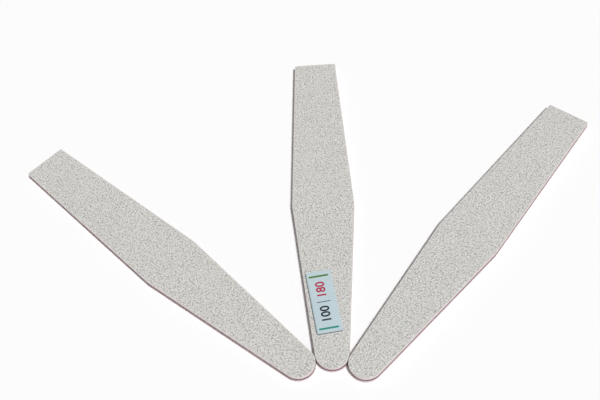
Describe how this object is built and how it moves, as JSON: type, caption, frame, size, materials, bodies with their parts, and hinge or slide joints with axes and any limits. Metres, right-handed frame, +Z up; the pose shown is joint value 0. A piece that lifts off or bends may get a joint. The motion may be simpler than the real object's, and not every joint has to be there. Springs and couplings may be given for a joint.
{
  "type": "emery board",
  "caption": "Foam-cushioned emery boards for nails, tapered from wide shoulders to a round end and a square end, fanned out flat.",
  "frame": {"origin": "middle of the middle board's length, on its underside", "axes": "+X across the middle board towards the right board, +Y along the middle board from its round end to its square end, +Z up from the table"},
  "size_m": [0.2744, 0.1835, 0.0039],
  "materials": {
    "grit": "matt grey coat of abrasive grit in resin",
    "backing_paper": "matt cut paper edge",
    "adhesive": "clear to cream pressure-sensitive film",
    "foam": "pale pink closed-cell foam",
    "core_plastic": "magenta plastic sheet, matt cut edge",
    "label_glue": "clear label adhesive",
    "label_film": "pale blue satin label"
  },
  "bodies": {
    "middle_board": {"middle_top_grit": "grit", "middle_top_paper": "backing_paper", "middle_top_adhesive": "adhesive", "middle_top_foam": "foam", "middle_upper_core_adhesive": "adhesive", "middle_core": "core_plastic", "middle_lower_core_adhesive": "adhesive", "middle_bottom_foam": "foam", "middle_bottom_adhesive": "adhesive", "middle_bottom_paper": "backing_paper", "middle_bottom_grit": "grit", "label_adhesive": "label_glue", "label": "label_film"},
    "left_board": {"left_top_grit": "grit", "left_top_paper": "backing_paper", "left_top_adhesive": "adhesive", "left_top_foam": "foam", "left_upper_core_adhesive": "adhesive", "left_core": "core_plastic", "left_lower_core_adhesive": "adhesive", "left_bottom_foam": "foam", "left_bottom_adhesive": "adhesive", "left_bottom_paper": "backing_paper", "left_bottom_grit": "grit"},
    "right_board": {"right_top_grit": "grit", "right_top_paper": "backing_paper", "right_top_adhesive": "adhesive", "right_top_foam": "foam", "right_upper_core_adhesive": "adhesive", "right_core": "core_plastic", "right_lower_core_adhesive": "adhesive", "right_bottom_foam": "foam", "right_bottom_adhesive": "adhesive", "right_bottom_paper": "backing_paper", "right_bottom_grit": "grit"}
  },
  "joints": [
    {"name": "left_board_lift", "type": "slide", "parent": "middle_board", "child": "left_board", "axis": [0, 0, 1], "range_m": [0, 0.06]},
    {"name": "right_board_lift", "type": "slide", "parent": "middle_board", "child": "right_board", "axis": [0, 0, 1], "range_m": [0, 0.06]}
  ]
}
